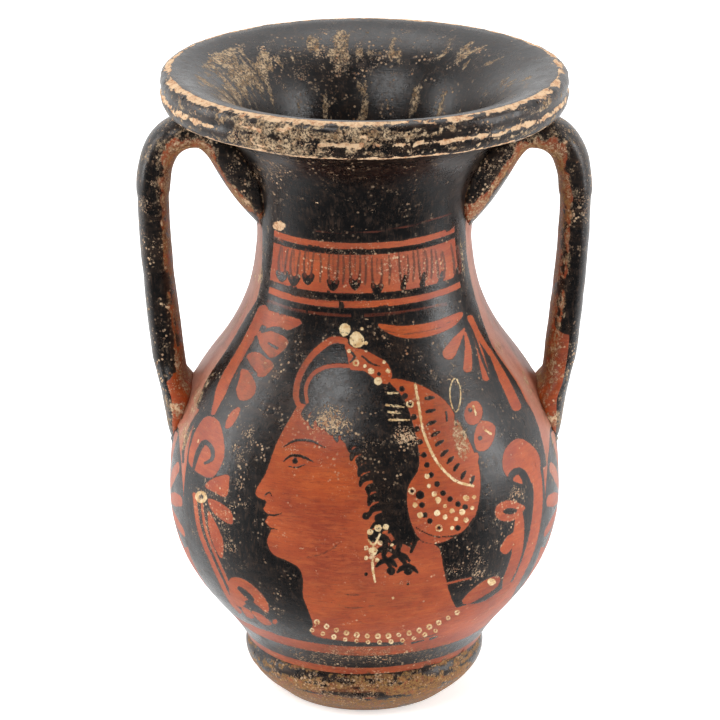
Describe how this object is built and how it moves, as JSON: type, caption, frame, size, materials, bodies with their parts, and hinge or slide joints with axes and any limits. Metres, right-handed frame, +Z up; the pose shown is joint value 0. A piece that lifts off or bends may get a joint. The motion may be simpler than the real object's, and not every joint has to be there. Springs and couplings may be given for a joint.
{
  "type": "pelike",
  "caption": "Ancient red-figure pelike: a low-bellied clay jar with a flared mouth, a ring foot and upright handles, with a profile head, tongues and palmettes on black glaze.",
  "frame": {"origin": "on the jar's axis, level with the surface that its foot stands on", "axes": "+Z up along the jar's axis, painted front towards -Y, handles towards +X and -X"},
  "size_m": [0.1656, 0.148, 0.24],
  "materials": {
    "slipped_clay": "glossy black slip with reserved orange clay, worn to bare clay on the lip, handles and foot"
  },
  "bodies": {
    "root": {"pelike": "slipped_clay"}
  },
  "joints": []
}
